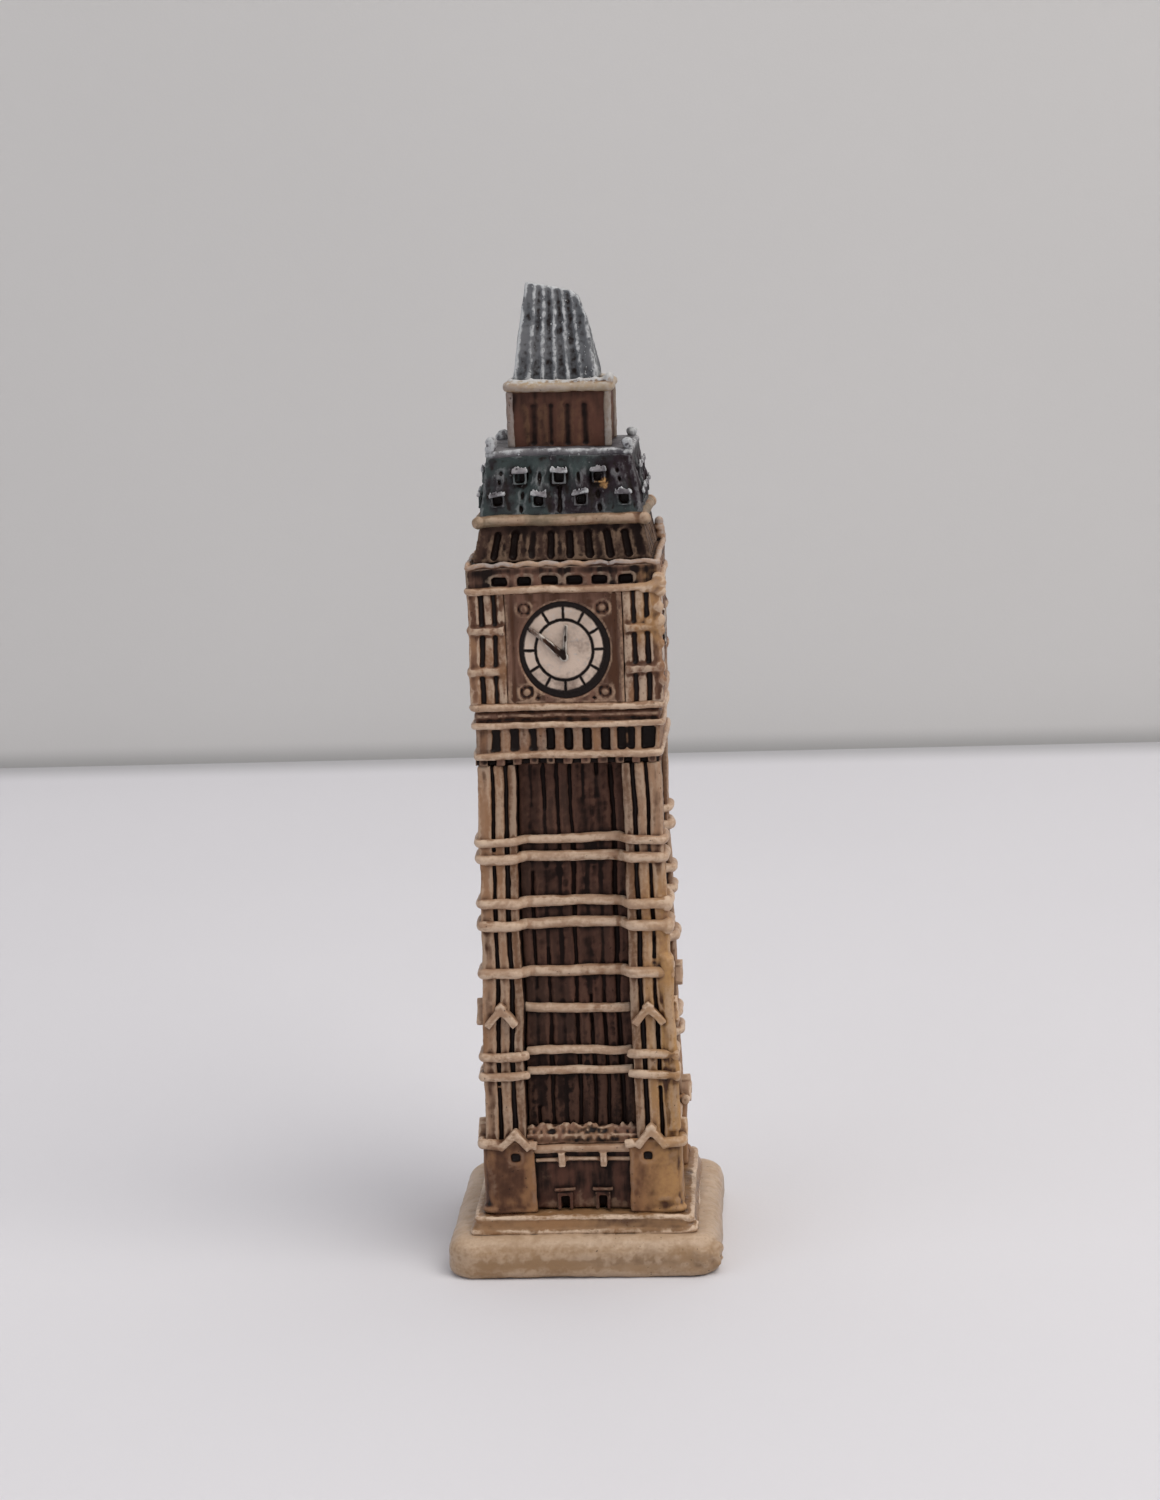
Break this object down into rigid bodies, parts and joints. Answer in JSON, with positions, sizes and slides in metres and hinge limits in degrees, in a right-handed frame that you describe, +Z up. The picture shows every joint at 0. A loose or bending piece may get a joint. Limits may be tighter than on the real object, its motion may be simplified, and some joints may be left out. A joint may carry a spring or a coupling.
{
  "type": "miniature clock tower model",
  "caption": "Small cast and hand-painted souvenir clock tower on a square plinth, with ribbed shaft, clock stage, dormered roof, lantern and a broken-off spire.",
  "frame": {"origin": "centre of the underside of the plinth, on the surface it stands on", "axes": "+Z up the tower, -Y out of the front face, +X to the right seen from the front"},
  "size_m": [0.0238, 0.0238, 0.0845],
  "materials": {
    "plinth_paint": "aged cream acrylic with brown wash, satin",
    "pier_paint": "cream over ochre with brown wash, satin",
    "course_paint": "cream brushed paint with brown wash, satin",
    "recess_paint": "dark brown wash over grey brown, satin",
    "wall_paint": "warm brown with dark wash, satin",
    "dial_paint": "warm silver, satin",
    "hand_paint": "dark brown touched with silver, satin",
    "slate_paint": "blue grey brushed with silver white, satin",
    "dormer_paint": "grey brushed with silver white, satin"
  },
  "bodies": {
    "root": {"belfry": "wall_paint", "belfry_band": "course_paint", "clock_core": "wall_paint", "clock_cornice": "course_paint", "clock_hands_back": "hand_paint", "clock_hands_front": "hand_paint", "clock_hands_left": "hand_paint", "clock_hands_right": "hand_paint", "clock_piers": "pier_paint", "clock_sill": "course_paint", "dentil_course": "course_paint", "dial_back": "dial_paint", "dial_frame_back": "wall_paint", "dial_frame_front": "wall_paint", "dial_frame_left": "wall_paint", "dial_frame_right": "wall_paint", "dial_front": "dial_paint", "dial_left": "dial_paint", "dial_right": "dial_paint", "doorways": "recess_paint", "dormers": "dormer_paint", "entrance_ledges": "course_paint", "foot_frieze": "recess_paint", "gablet_bars": "course_paint", "gablets": "course_paint", "gallery_arcade": "wall_paint", "gallery_cap": "course_paint", "gallery_frieze": "wall_paint", "gallery_rod": "course_paint", "ground_core": "pier_paint", "ground_turrets": "pier_paint", "lantern": "wall_paint", "lantern_cornice": "course_paint", "lantern_posts": "course_paint", "parapet": "wall_paint", "parapet_rail": "course_paint", "plinth_slab": "plinth_paint", "plinth_step": "plinth_paint", "rib_panel_back": "recess_paint", "rib_panel_front": "recess_paint", "rib_panel_left": "recess_paint", "rib_panel_right": "recess_paint", "roof": "slate_paint", "roof_knobs": "slate_paint", "roof_rail": "slate_paint", "shaft_core": "recess_paint", "shaft_pier_back_left": "pier_paint", "shaft_pier_back_right": "pier_paint", "shaft_pier_front_left": "pier_paint", "shaft_pier_front_right": "pier_paint", "spire_stub": "slate_paint", "string_course_1": "course_paint", "string_course_2": "course_paint", "string_course_3": "course_paint", "string_course_4": "course_paint", "string_course_5": "course_paint", "string_course_6": "course_paint", "string_course_7": "course_paint", "turret_hoods": "course_paint"}
  },
  "joints": []
}
